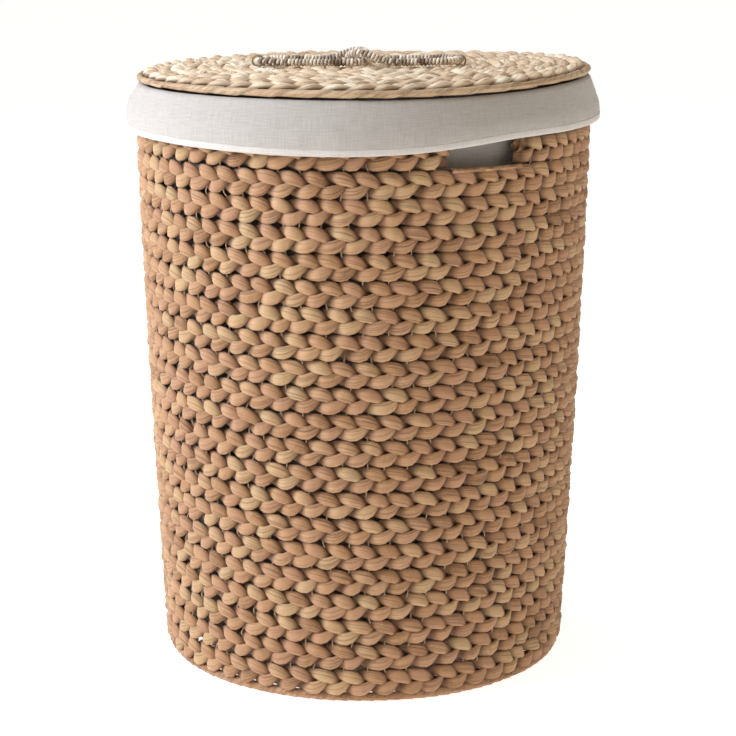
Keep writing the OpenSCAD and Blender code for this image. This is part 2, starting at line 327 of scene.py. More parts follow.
# %% One strand
def plait_strand(tree, size, strand, line, u, angle, centre, tuck):
    """Bend a line of points into one of the three strands and note what its skin needs."""
    # slow wander of the strand, the same at both ends of a ring
    wander_at = add(tree, "ShaderNodeCombineXYZ", [
        formula(tree, "sin(u * 6.28319) * length * 3.6 + k", u=u, length=size["Length"],
                k=strand * 7.3),
        formula(tree, "cos(u * 6.28319) * length * 3.6", u=u, length=size["Length"]),
        size["Seed"]]).outputs[0]
    wander = add(tree, "ShaderNodeTexNoise",
                 {"Vector": wander_at, "Scale": 1.0, "Detail": 1.0}).outputs["Color"]
    drift = add(tree, "ShaderNodeSeparateXYZ", [wander]).outputs
    phase = formula(tree, "6.28319 * (periods * u + third + seed * 0.37) + (d - 0.5) * 1.3",
                    periods=size["Periods"], u=u, third=strand / 3, seed=size["Seed"], d=drift[0])
    across = formula(tree, "w * (sin(p) + 0.03 * sin(p * 3)) + (d - 0.5) * 0.003",
                     w=size["Half width"], p=phase, d=drift[1])
    # up quickly where the leaf turns at the edge, then slowly down to where it dives
    out = formula(tree, "(d - 0.5) * 0.0024 + h * (cos(p * 2 - 4.7) - 0.1 * sin(p * 4 - 9.4))",
                  h=size["Half depth"], p=phase, d=drift[2])
    radius = formula(tree, "c + out * (1 - l) + across * l - tuck * (1 - l)",
                     c=centre, out=out, across=across, l=size["Lying"], tuck=tuck)
    height = formula(tree, "z + across * (1 - l) * (1 - tuck * 28) + out * l",
                     z=size["Height"], out=out, across=across, l=size["Lying"], tuck=tuck)
    spot = add(tree, "ShaderNodeCombineXYZ", [
        formula(tree, "r * sin(a)", r=radius, a=angle),
        formula(tree, "0 - r * cos(a)", r=radius, a=angle), height]).outputs[0]
    tilt = formula(tree, "0.3 * cos(p) + (d - 0.5) * 0.8", p=phase, d=drift[0])
    curve = add(tree, "GeometryNodeMeshToCurve", [line]).outputs[0]
    for kind, values, settings in (
            ("GeometryNodeSetSplineCyclic", {"Cyclic": size["Closed"]}, {}),
            ("GeometryNodeSetPosition", {"Position": spot}, {}),
            ("GeometryNodeSetCurveNormal", {}, {"mode": "Z_UP"}),
            ("GeometryNodeSetCurveTilt", {"Tilt": tilt}, {})):
        curve = add(tree, kind, {0: curve} | values, **settings).outputs[0]

    # fat and round where the leaf turns at the edge, thin where it dives under the next one
    fat = formula(tree, "1 + 0.23 * cos(p * 2 - 3.75) + (d - 0.5) * 0.3", p=phase, d=drift[1])
    # each visible leaf has its number, counted from where the strand comes up
    step = formula(tree, "floor((p - 1.05) / 3.14159)", p=phase)
    number = formula(tree, "step - floor(step / m) * m + k * 971", step=step, k=strand,
                     m=formula(tree, "floor(periods * 2 + 0.5)", periods=size["Periods"]))
    shade = add(tree, "FunctionNodeRandomValue", {"ID": number, "Seed": size["Seed"]},
                data_type="FLOAT").outputs[1]
    along = formula(tree, "u * length + k", u=u, length=size["Length"], k=strand * 3.1)
    heart = formula(tree, "c * (1 - l) + z * l", c=centre, z=size["Height"], l=size["Lying"])
    for label, value in (("along", along), ("fat", fat), ("leaf", shade), ("heart", heart)):
        curve = add(tree, "GeometryNodeStoreNamedAttribute",
                    {"Geometry": curve, "Name": label, "Value": value},
                    data_type="FLOAT").outputs[0]
    return curve


# %% The strand's section
SECTION_SIDES = 13


def strand_section(tree, size, index):
    """A leaf folded on itself: an oval with two shallow creases."""
    arc = add(tree, "GeometryNodeCurveArc", {
        "Resolution": SECTION_SIDES + 1, "Radius": 1.0, "Sweep Angle": TURN},
        mode="RADIUS").outputs[0]
    bend = formula(tree, "6.28319 * i / sides", i=index, sides=SECTION_SIDES)
    lobe = formula(tree, "0.5 * (1 - 0.085 * cos(b * 3 + 0.6) + 0.03 * sin(b * 5))", b=bend)
    shape = {"b": bend, "k": lobe, "d": size["Strand depth"], "w": size["Strand width"],
             "l": size["Lying"]}
    spot = add(tree, "ShaderNodeCombineXYZ", [
        formula(tree, "cos(b) * k * (d + (w - d) * l)", **shape),
        formula(tree, "sin(b) * k * (w + (d - w) * l)", **shape), 0.0]).outputs[0]
    section = add(tree, "GeometryNodeSetPosition", {"Geometry": arc, "Position": spot}).outputs[0]
    return add(tree, "GeometryNodeStoreNamedAttribute", {
        "Geometry": section, "Name": "around",
        "Value": formula(tree, "i / sides", i=index, sides=SECTION_SIDES)},
        data_type="FLOAT").outputs[0]


# %% Plait recipe
PLAIT_INPUTS = [
    ("Radius", "Float", 0.22), ("End radius", "Float", 0.22), ("Height", "Float", 0.0),
    ("Start", "Float", 0.0), ("Sweep", "Float", TURN), ("Pace", "Float", 1.0),
    ("Periods", "Float", 20.0), ("Length", "Float", 1.4), ("Steps", "Int", 340),
    ("Half width", "Float", 0.0083), ("Half depth", "Float", 0.0036),
    ("Strand width", "Float", 0.0117), ("Strand depth", "Float", 0.0074),
    ("Lying", "Float", 0.0), ("Closed", "Float", 1.0), ("Tuck", "Float", 0.0),
    ("Seed", "Float", 0.0), ("Finish", "Material", None),
]
PRESSED_HALF = 13.9 * MM    # half the height that a standing plait keeps
TUCKED_END = 22 * MM        # length over which a cut end turns inwards


def plait_recipe():
    tree, size = new_recipe("plait", PLAIT_INPUTS)
    index = add(tree, "GeometryNodeInputIndex").outputs[0]
    # a closed ring stops 1 mm short of its start, and the tube closes that gap
    u = formula(tree, "i / (n - 1) * (1 - closed * 0.001 / length)", i=index, n=size["Steps"],
                closed=size["Closed"], length=size["Length"])
    paced = formula(tree, "u ** pace", u=u, pace=size["Pace"])
    angle = formula(tree, "start + sweep * p", start=size["Start"], sweep=size["Sweep"], p=paced)
    centre = formula(tree, "a + (b - a) * p", a=size["Radius"], b=size["End radius"], p=paced)
    # how close a spot is to either cut end, where the plait is tucked inwards
    tuck = formula(tree, "t * max(1 - min(u, 1 - u) * length / end, 0) ** 2",
                   t=size["Tuck"], u=u, length=size["Length"], end=TUCKED_END)
    line = add(tree, "GeometryNodeMeshLine", {"Count": size["Steps"]}).outputs[0]
    strands = add(tree, "GeometryNodeJoinGeometry")
    for strand in range(3):
        curve = plait_strand(tree, size, strand, line, u, angle, centre, tuck)
        tree.links.new(curve, strands.inputs[0])
    section = strand_section(tree, size, index)
    swell, heart, along, around = (
        add(tree, "GeometryNodeInputNamedAttribute", {"Name": label}, data_type="FLOAT").outputs[0]
        for label in ("fat", "heart", "along", "around"))
    skin = add(tree, "GeometryNodeCurveToMesh", {
        "Curve": strands.outputs[0], "Profile Curve": section, "Scale": swell,
        "Fill Caps": True}).outputs[0]

    # courses press on each other, so a standing plait is flattened above and below its middle
    place = add(tree, "GeometryNodeInputPosition").outputs[0]
    where = add(tree, "ShaderNodeSeparateXYZ", [place]).outputs
    pressed = formula(tree, "(z - h) / (1 + (abs(z - h) / (half + l)) ** 10) ** 0.1 + h - z",
                      z=where[2], h=size["Height"], half=PRESSED_HALF, l=size["Lying"])
    offset = add(tree, "ShaderNodeCombineXYZ", [0.0, 0.0, pressed]).outputs[0]
    skin = add(tree, "GeometryNodeSetPosition", {"Geometry": skin, "Offset": offset}).outputs[0]

    # how far each spot stands out of the plait's middle, from 0 to 1
    rise = formula(tree, "min(abs(sqrt(x * x + y * y) * (1 - l) + z * l - heart) / (h + d / 2), 1)",
                   x=where[0], y=where[1], z=where[2], l=size["Lying"], heart=heart,
                   h=size["Half depth"], d=size["Strand depth"])
    run = add(tree, "ShaderNodeCombineXYZ", [along, around, 0.0]).outputs[0]
    for label, kind, domain, value in (("crown", "FLOAT", "POINT", rise),
                                       ("UVMap", "FLOAT2", "CORNER", run)):
        skin = add(tree, "GeometryNodeStoreNamedAttribute",
                   {"Geometry": skin, "Name": label, "Value": value},
                   data_type=kind, domain=domain).outputs[0]
    skin = add(tree, "GeometryNodeMergeByDistance",
               {"Geometry": skin, "Distance": 0.00002}).outputs[0]
    return close_recipe(tree, skin, size["Finish"])


plait = plait_recipe()
print("plait recipe:", len(plait.nodes), "nodes")

# %% [markdown]
# ## The wall
# Each course takes its height and radius from the design. A strand comes back to
# the same edge about every 70 mm, and that has to fit a whole number of times, so
# the two ends of a ring meet. The top courses stop at the two hand-holes: there
# the plait is cut, and each end is tucked in behind.

# %% Courses
rng = random.Random(4)
PERIOD = 72 * MM            # length in which a strand comes back to the same edge
STEPS = 17                  # points of a strand in one period
HALF_THICK = 8 * MM         # a plait's middle line is this far inside its outer face
END_GAP = 0.022             # angle left between a cut plait's spread end and its hole
course_names = sorted(n for n in nodes if n.startswith("course_"))
hole_angle = math.radians(30.8)          # middle of the front hand-hole, from the front
hole_half = math.asin(37.5 / 237.5)      # half its 75 mm width at the wall's radius


def ring_size(name):
    """Outer radius and middle height of a round CAD node."""
    low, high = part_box(name)
    return max((high[0] - low[0]) / 2, (high[1] - low[1]) / 2), (low[2] + high[2]) / 2


def pressed_down(number):
    """How far a course sits below its even place; the lowest course is number 0."""
    if number == 0:         # it settles on the foot ring
        return 0.9 * MM
    if number == 20:        # the lower of the two courses that the hand-holes cut
        return 2.0 * MM
    # under the hand-holes the wall is pressed down by the hands that lift the basket
    return 2.2 * min(max(number - 11, 0), 8) / 8 * MM if number < 20 else 0


def join(name, parts):
    """Join plain mesh objects into one, keeping their attributes."""
    with bpy.context.temp_override(active_object=parts[0], object=parts[0],
                                   selected_objects=parts, selected_editable_objects=parts):
        bpy.ops.object.join()
    parts[0].name = name
    return parts[0]


sill_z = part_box("hand_hole_sill_front")[0][2]
faces = 0
for number, name in enumerate(course_names):
    outer, height = ring_size(name)
    if height > sill_z:
        # the two cut rings reach as far as their ends allow, so their radius follows the wall
        outer = ring_size("course_20")[0] + (number - 19) * 0.2 * MM
    middle = outer - HALF_THICK
    height -= pressed_down(number)
    sizes = {"Radius": middle, "End radius": middle, "Height": height, "Seed": number + 0.31,
             "Finish": wall_leaf}
    if height < sill_z:
        periods = round(TURN * middle / PERIOD)
        sizes |= {"Periods": float(periods), "Length": TURN * middle,
                  "Steps": periods * STEPS + 1, "Start": rng.random() * TURN}
        piece = grow(name + "_plait", plait, sizes)
    else:
        # the cut strands spread at their ends, so the plait stops a little before the hole
        sweep = math.pi - 2 * hole_half - 2 * END_GAP
        periods = middle * sweep / PERIOD
        sizes |= {"Periods": periods, "Length": middle * sweep, "Steps": int(periods * STEPS),
                  "Sweep": sweep, "Tuck": 0.006, "Closed": 0.0}
        halves = [grow(f"{name}_half_{k}", plait, sizes | {
            "Start": hole_angle + hole_half + END_GAP + k * math.pi,
            "Seed": number + k * 0.57}) for k in (0, 1)]
        piece = join(name + "_plait", halves)
    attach(piece, "basket")
    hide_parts(name)
    faces += len(piece.data.polygons)
print("courses:", len(course_names), "faces:", faces)

# %% [markdown]
# ## Floor and lid
# The floor is one plait wound as a flat spiral. The lid is made of separate
# rounds instead, one inside the other, so each round is its own piece. Both lie
# flat: the same recipe with `Lying` at 1.

# %% Floor spiral and lid rounds
def flat_plait(name, node, finish, body, **sizes):
    """A plait lying flat that stands for a CAD node."""
    low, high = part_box(node)
    basics = {"Lying": 1.0, "Height": (low[2] + high[2]) / 2 - 0.4 * MM, "Finish": finish}
    piece = grow(name, plait, basics | sizes)
    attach(piece, body)
    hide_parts(node)
    return piece


mat_r = ring_size("floor_mat")[0]
rounds = 8
round_width = mat_r / rounds
spiral_length = math.pi * mat_r * mat_r / round_width
flat_plait("floor_mat_spiral", "floor_mat", painted_light_leaf, "basket", **{
    "Radius": 4 * MM, "End radius": mat_r - round_width / 2, "Sweep": TURN * (rounds - 0.6),
    "Pace": 0.5, "Periods": spiral_length / PERIOD, "Length": spiral_length,
    "Steps": int(spiral_length / PERIOD * STEPS), "Closed": 0.0, "Strand depth": 7.4 * MM,
    "Half depth": 3.0 * MM, "Strand width": 10.8 * MM, "Half width": 6.1 * MM, "Seed": 3.0})

coil_names = sorted(n for n in nodes if n.startswith("lid_coil_"))
coil_pitch = ring_size("lid_coil_8")[0] - ring_size("lid_coil_7")[0]
for number, name in enumerate(coil_names):
    middle = ring_size(name)[0] - coil_pitch / 2
    periods = round(TURN * middle / PERIOD)
    # the last round rests on the rim's cloth, so its height is counted from its underside
    outermost = number == len(coil_names) - 1
    flat_plait(name + "_plait", name, painted_light_leaf, "lid", **{
        "Radius": middle, "End radius": middle, "Start": rng.random() * TURN,
        "Periods": float(periods), "Length": TURN * middle, "Steps": periods * STEPS + 1,
        "Seed": 40.2 + number, "Strand depth": 6.6 * MM, "Half depth": 2.3 * MM,
        "Half width": 7.8 * MM, "Strand width": 12.4 * MM}
        | ({"Height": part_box(name)[0][2] + 3.9 * MM} if outermost else {}))
knot_r = ring_size("lid_centre")[0] * 0.42
flat_plait("lid_centre_knot", "lid_centre", painted_light_leaf, "lid", **{
    "Radius": knot_r, "End radius": knot_r, "Periods": 1.0, "Length": TURN * knot_r,
    "Steps": 25, "Seed": 60.0, "Strand depth": 6.0 * MM, "Half depth": 2.4 * MM,
    "Half width": 3.2 * MM, "Strand width": 10 * MM})
print("lid rounds:", len(coil_names), "pitch in mm:", round(coil_pitch / MM, 1))

# %% [markdown]
# ## Wrapped rings
# The foot, the rim, the lid's edge and the two rods on the hand-hole sills are
# wire wound with a strip of leaf. Each turn laps over the one before, so the
# surface climbs a little and then steps down, and each turn has its own shade.

# %% Wrap recipe
WRAP_INPUTS = [
    ("Radius", "Float", 0.2), ("Height", "Float", 0.0), ("Start", "Float", 0.0),
    ("Sweep", "Float", TURN), ("Closed", "Float", 1.0), ("Tube radius", "Float", 0.0045),
    ("Wraps", "Float", 120.0), ("Lap", "Float", 0.0006), ("Per wrap", "Float", 8.0),
    ("Seed", "Float", 0.0), ("Finish", "Material", None),
]
TUBE_POINTS = 14


def wrap_recipe():
    tree, size = new_recipe("leaf_wrap", WRAP_INPUTS)
    index = add(tree, "GeometryNodeInputIndex").outputs[0]
    count = formula(tree, "floor(wraps * n + 0.5)", wraps=size["Wraps"], n=size["Per wrap"])
    u = formula(tree, "i / (n - 1 + closed)", i=index, n=count, closed=size["Closed"])
    angle = formula(tree, "start + sweep * u", start=size["Start"], sweep=size["Sweep"], u=u)
    line = add(tree, "GeometryNodeMeshLine", {"Count": count}).outputs[0]
    curve = add(tree, "GeometryNodeMeshToCurve", [line]).outputs[0]
    spot = add(tree, "ShaderNodeCombineXYZ", [
        formula(tree, "r * sin(a)", r=size["Radius"], a=angle),
        formula(tree, "0 - r * cos(a)", r=size["Radius"], a=angle), size["Height"]]).outputs[0]
    curve = add(tree, "GeometryNodeSetSplineCyclic",
                {"Geometry": curve, "Cyclic": size["Closed"]}).outputs[0]
    curve = add(tree, "GeometryNodeSetPosition", {"Geometry": curve, "Position": spot}).outputs[0]
    curve = add(tree, "GeometryNodeSetCurveNormal", {"Curve": curve}, mode="Z_UP").outputs[0]
    # an open profile with its last point on its first, so the lap can step along it
    profile = add(tree, "GeometryNodeCurveArc", {
        "Resolution": TUBE_POINTS, "Radius": size["Tube radius"], "Sweep Angle": TURN},
        mode="RADIUS").outputs[0]
    share = formula(tree, "i / k", i=index, k=TUBE_POINTS - 1)
    turned = formula(tree, "u * w", u=u, w=size["Wraps"])
    profile, curve = (
        add(tree, "GeometryNodeStoreNamedAttribute",
            {"Geometry": geometry, "Name": label, "Value": value}, data_type="FLOAT").outputs[0]
        for geometry, label, value in ((profile, "around", share), (curve, "turns", turned)))
    skin = add(tree, "GeometryNodeCurveToMesh",
               {"Curve": curve, "Profile Curve": profile, "Fill Caps": True}).outputs[0]
    turns, around = (
        add(tree, "GeometryNodeInputNamedAttribute", {"Name": label}, data_type="FLOAT").outputs[0]
        for label in ("turns", "around"))
    climb = formula(tree, "frac(turns + around)", turns=turns, around=around)
    number = formula(tree, "floor(turns + around - floor((turns + around) / w) * w)",
                     turns=turns, around=around, w=size["Wraps"])
    shade = add(tree, "FunctionNodeRandomValue", {"ID": number, "Seed": size["Seed"]},
                data_type="FLOAT").outputs[1]
    normal = add(tree, "GeometryNodeInputNormal").outputs[0]
    lift = formula(tree, "lap * (climb - 1.2 + shade * 0.8)",
                   lap=size["Lap"], climb=climb, shade=shade)
    offset = add(tree, "ShaderNodeVectorMath", {"Vector": normal, "Scale": lift},
                 operation="SCALE").outputs[0]
    skin = add(tree, "GeometryNodeSetPosition", {"Geometry": skin, "Offset": offset}).outputs[0]
    run = add(tree, "ShaderNodeCombineXYZ", [
        formula(tree, "around * r * 6.28 + n * 0.31",
                around=around, r=size["Tube radius"], n=number),
        formula(tree, "climb * 0.3", climb=climb), 0.0]).outputs[0]
    # shadow gathers at both edges of a turn
    crown = formula(tree, "0.36 + min(climb * 4, min((1 - climb) * 9, 1)) * 0.6", climb=climb)
    for label, kind, domain, value in (("leaf", "FLOAT", "POINT", shade),
                                       ("UVMap", "FLOAT2", "CORNER", run),
                                       ("crown", "FLOAT", "POINT", crown)):
        skin = add(tree, "GeometryNodeStoreNamedAttribute",
                   {"Geometry": skin, "Name": label, "Value": value},
                   data_type=kind, domain=domain).outputs[0]
    skin = add(tree, "GeometryNodeMergeByDistance",
               {"Geometry": skin, "Distance": 0.00001}).outputs[0]
    return close_recipe(tree, skin, size["Finish"])


wrap = wrap_recipe()
print("wrap recipe:", len(wrap.nodes), "nodes")

# %% Rings and sill rods
def wrapped(node, body, strip, tube, **sizes):
    """Wind a ring or an arc of CAD wire with leaf; strip is the width of one turn."""
    outer, height = ring_size(node)
    middle = outer - tube
    basics = {"Radius": middle, "Height": height, "Tube radius": tube, "Finish": ring_leaf,
              "Wraps": float(round(TURN * middle / strip))}
    piece = grow(node + "_wrapped", wrap, basics | sizes)
    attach(piece, body)
    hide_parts(node)
    return piece


wrapped("foot_ring", "basket", 13 * MM, 4.7 * MM, Seed=1.0, Lap=0.0008, Height=4.9 * MM)
wrapped("rim_ring", "basket", 16 * MM, 4.2 * MM, Seed=2.0)
lid_edge_r, lid_edge_z = ring_size("lid_ring")
wrapped("lid_ring", "lid", 38 * MM, 3.6 * MM, Seed=3.0, Lap=0.001, Finish=edge_leaf,
        Height=lid_edge_z + 1.2 * MM, Radius=lid_edge_r - 4.6 * MM, **{"Per wrap": 22.0})
SILL_END = 0.012            # angle by which a sill rod runs on past each end of its hole
for k, node in enumerate(("hand_hole_sill_front", "hand_hole_sill_back")):
    wrapped(node, "basket", 8 * MM, 2.5 * MM, Lap=0.0005, Seed=7.0 + k, Closed=0.0, Wraps=9.0,
            Radius=ring_size("course_20")[0] - 2.4 * MM, Height=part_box(node)[0][2] - 3.0 * MM,
            Start=hole_angle - hole_half + k * math.pi - SILL_END,
            Sweep=hole_half * 2 + 2 * SILL_END)

# %% [markdown]
# ## Stitches
# Fine twine sews each course to the next with a short upright stitch about every
# 20 mm, and the lid's rounds the same way. One short bowed piece of twine is
# copied to each place. A place is a point that carries two directions: out of the
# surface, and across the seam.

# %% Stitch recipe
STITCH_INPUTS = [
    ("Length", "Float", 0.011), ("Bow", "Float", 0.0025), ("Thickness", "Float", 0.0014),
    ("Slant", "Float", 0.35), ("Seed", "Int", 0), ("Finish", "Material", None),
]


def stitch_recipe():
    tree, size = new_recipe("stitch", STITCH_INPUTS)
    index = add(tree, "GeometryNodeInputIndex").outputs[0]
    line = add(tree, "GeometryNodeMeshLine", {"Count": 7}).outputs[0]
    curve = add(tree, "GeometryNodeMeshToCurve", [line]).outputs[0]
    t = formula(tree, "i / 6 * 2 - 1", i=index)
    spot = add(tree, "ShaderNodeCombineXYZ", [
        formula(tree, "b * (1 - t * t * 2)", b=size["Bow"], t=t), 0.0,
        formula(tree, "t * l / 2", t=t, l=size["Length"])]).outputs[0]
    curve = add(tree, "GeometryNodeSetPosition", {"Geometry": curve, "Position": spot}).outputs[0]
    ring = add(tree, "GeometryNodeCurvePrimitiveCircle", {
        "Resolution": 5, "Radius": formula(tree, "d / 2", d=size["Thickness"])},
        mode="RADIUS").outputs[0]
    one = add(tree, "GeometryNodeCurveToMesh",
              {"Curve": curve, "Profile Curve": ring, "Fill Caps": True}).outputs[0]
    out, across = (
        add(tree, "GeometryNodeInputNamedAttribute", {"Name": label},
            data_type="FLOAT_VECTOR").outputs[0] for label in ("out", "across"))
    facing = add(tree, "FunctionNodeAxesToRotation",
                 {"Primary Axis": out, "Secondary Axis": across},
                 primary_axis="X", secondary_axis="Z").outputs[0]
    slant = add(tree, "FunctionNodeRandomValue", {
        "Min": formula(tree, "0 - s", s=size["Slant"]), "Max": size["Slant"],
        "Seed": size["Seed"]}, data_type="FLOAT").outputs[1]
    turn = add(tree, "ShaderNodeCombineXYZ", [slant, 0.0, 0.0]).outputs[0]
    copies = add(tree, "GeometryNodeInstanceOnPoints", {
        "Points": size["Geometry"], "Instance": one, "Rotation": facing}).outputs[0]
    copies = add(tree, "GeometryNodeRotateInstances",
                 {"Instances": copies, "Rotation": turn, "Local Space": True}).outputs[0]
    return close_recipe(tree, copies, size["Finish"])


stitch = stitch_recipe()
print("stitch recipe:", len(stitch.nodes), "nodes")


def place_mesh(name, places):
    """Points to sew at: each place is (position, out, across)."""
    mesh = bpy.data.meshes.new(name)
    mesh.from_pydata([p for p, out, across in places], [], [])
    for k, label in ((1, "out"), (2, "across")):
        mesh.attributes.new(label, "FLOAT_VECTOR", "POINT").data.foreach_set(
            "vector", [c for place in places for c in place[k]])
    return mesh


def sewn(name, places, body, slot, finish, **sizes):
    """Sew a piece of stitches at these places."""
    piece = grow(name, stitch, {"Finish": finish} | sizes, place_mesh(name + "_places", places))
    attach(piece, body)
    return piece


# %% [markdown]
# ## Finish: twine and wire
# Twine is spun from plant fibre: fine slanted plies, pale straw colour and a
# little fuzz that scatters light. The frame is annealed steel wire with a dull
# brown-grey oxide skin, which shows only inside and underneath.

# %% Twine and wire finishes
def spun_twine(name, low_colour, high_colour, scale=900.0):
    """Plant-fibre twine; a leaf attribute shades each turn between the two colours."""
    material, tree, shader = new_finish(name)
    leaf = add(tree, "ShaderNodeAttribute", attribute_name="leaf").outputs["Fac"]
    place = add(tree, "ShaderNodeTexCoord").outputs["Object"]
    fibre, cloudy = (
        add(tree, "ShaderNodeTexNoise", {"Vector": place, "Scale": at, "Detail": detail}).outputs[0]
        for at, detail in ((scale, 2.0), (60.0, 1.0)))
    tone = formula(tree, "leaf + (fibre - 0.5) * 0.5 + (cloudy - 0.5) * 0.6",
                   leaf=leaf, fibre=fibre, cloudy=cloudy)
    ramp = add(tree, "ShaderNodeValToRGB", [tone])
    ramp.color_ramp.elements[0].color = linear(low_colour)
    ramp.color_ramp.elements[1].color = linear(high_colour)
    tree.links.new(ramp.outputs[0], shader.inputs["Base Color"])
    raised = add(tree, "ShaderNodeBump", {"Strength": 0.5, "Distance": 0.4 * MM, "Height": fibre})
    tree.links.new(raised.outputs[0], shader.inputs["Normal"])
    tree.links.new(formula(tree, "0.7 + fibre * 0.2", fibre=fibre), shader.inputs["Roughness"])
    shader.inputs["Sheen Weight"].default_value = 0.25
    return material


seam_twine = spun_twine("jute_twine_pale", "#a98f6f", "#d9c5a4")
cord_twine = spun_twine("jute_twine_striped", "#6d5643", "#fbeed8")

wire_steel, wire_tree, wire_shader = new_finish("annealed_steel_wire")
wire_place = add(wire_tree, "ShaderNodeTexCoord").outputs["Object"]
oxide = add(wire_tree, "ShaderNodeTexNoise",
            {"Vector": wire_place, "Scale": 240.0, "Detail": 3.0}).outputs[0]
oxide_ramp = add(wire_tree, "ShaderNodeValToRGB", [oxide])
oxide_ramp.color_ramp.elements[0].color = linear("#2f2823")
oxide_ramp.color_ramp.elements[1].color = linear("#6a5f56")
wire_tree.links.new(oxide_ramp.outputs[0], wire_shader.inputs["Base Color"])
wire_rough = formula(wire_tree, "0.35 + o * 0.35", o=oxide)
wire_tree.links.new(wire_rough, wire_shader.inputs["Roughness"])
wire_shader.inputs["Metallic"].default_value = 0.85
for name in ("frame_uprights", "frame_top_hoop", "frame_floor_hoop", "frame_floor_spokes",
             "lid_spokes"):
    nodes[name].data.materials.clear()
    nodes[name].data.materials.append(wire_steel)
print("wire nodes finished, twine:", seam_twine.name, cord_twine.name)

# %% Stitches of wall and lid
UP = (0.0, 0.0, 1.0)
STITCHES = 68               # in one round of the wall, about 21 mm apart
wall_places = []
for lower, upper in zip(course_names, course_names[1:]):
    r_low, z_low = ring_size(lower)
    r_high, z_high = ring_size(upper)
    cut = z_high > sill_z
    seam_r = (ring_size("course_20")[0] if cut else (r_low + r_high) / 2) - 7.2 * MM
    for k in range(STITCHES):
        angle = TURN * (k + 0.45 * rng.random()) / STITCHES
        # angle to the nearer of the two hand-holes, which are half a turn apart
        off = min((angle - hole_angle) % math.pi, math.pi - (angle - hole_angle) % math.pi)
        if cut and off < hole_half + 0.03:
            continue
        out = outward(angle)
        wall_places.append(((out[0] * seam_r, out[1] * seam_r, (z_low + z_high) / 2), out, UP))
wall_seams = sewn("wall_stitches", wall_places, "basket", "stitching_twine", seam_twine,
                  Length=10 * MM, Bow=1.4 * MM, Thickness=1.3 * MM, Seed=5)
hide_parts("wall_stitching")

lid_places = []
lid_seam_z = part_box("lid_coil_4")[1][2] - 6.4 * MM
for number, name in enumerate(coil_names[:-1]):
    seam_r = ring_size(name)[0]
    count = round(TURN * seam_r / (21 * MM))
    for k in range(count):
        angle = TURN * (k + 0.4 * rng.random()) / count
        way = outward(angle)
        lid_places.append(((way[0] * seam_r, way[1] * seam_r, lid_seam_z), UP, way))
lid_seams = sewn("lid_stitches", lid_places, "lid", "stitching_twine", seam_twine,
                 Length=10 * MM, Bow=2.0 * MM, Thickness=1.4 * MM, Seed=6)
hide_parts("lid_stitching")
print("stitches in wall and lid:", len(wall_places), len(lid_places))

# %% [markdown]
# ## The handle
# Two closed loops of cord are linked through each other on the lid, and a few
# turns of twine lash each one down at its outer end. A cord is a core with fine
# twine wound round it side by side, partly dark and partly pale, which gives the
# handle its stripes. The line of each loop is the design's: a long flat loop that
# rises over the other cord at one of the two crossings.

# %% Loop line
CORD = 8.5 * MM             # thickness of the wound cord
CLIMB = 38 * MM             # length over which a loop climbs to pass over the other


def loop_line(node, side, count=360):
    """Centre line of a loop as points; side is -1 for left and 1 for right."""
    low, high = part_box(node)
    bend = (high[1] - low[1] - CORD) / 2
    straight = high[0] - low[0] - CORD - 2 * bend
    around = TURN * bend + 2 * straight
    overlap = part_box("handle_loop_left")[1][0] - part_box("handle_loop_right")[0][0] - CORD
    inner = low[0] + CORD / 2 if side > 0 else high[0] - CORD / 2
    middle_y, flat_z = (low[1] + high[1]) / 2, low[2] + CORD / 2
    rise = high[2] - low[2] - CORD
    crossing = math.acos((bend - overlap / 2) / bend) * bend
    quarter = math.pi * bend / 2
    points = []
    for k in range(count):
        s = around * k / count
        if s < quarter:
            x, y = bend - bend * math.cos(s / bend), -bend * math.sin(s / bend)
        elif s < quarter + straight:
            x, y = bend + s - quarter, -bend
        elif s < 3 * quarter + straight:
            t = (s - quarter - straight) / bend
            x, y = bend + straight + bend * math.sin(t), -bend * math.cos(t)
        elif s < 3 * quarter + 2 * straight:
            x, y = bend + straight - (s - 3 * quarter - straight), bend
        else:
            t = (s - 3 * quarter - 2 * straight) / bend
            x, y = bend - bend * math.sin(t), bend * math.cos(t)
        gap = min(abs(s - crossing), around - abs(s - crossing))
        lift = rise * math.cos(math.pi / 2 * gap / CLIMB) ** 2 if gap < CLIMB else 0
        points.append((inner + side * x, middle_y + side * y, flat_z + lift))
    return points, around


# %% Cord recipe
CORD_INPUTS = [
    ("Core radius", "Float", 0.0034), ("Twine width", "Float", 0.0024),
    ("Twine height", "Float", 0.0017), ("Turns", "Float", 120.0), ("Per turn", "Int", 12),
    ("Seed", "Int", 0), ("Finish", "Material", None),
]


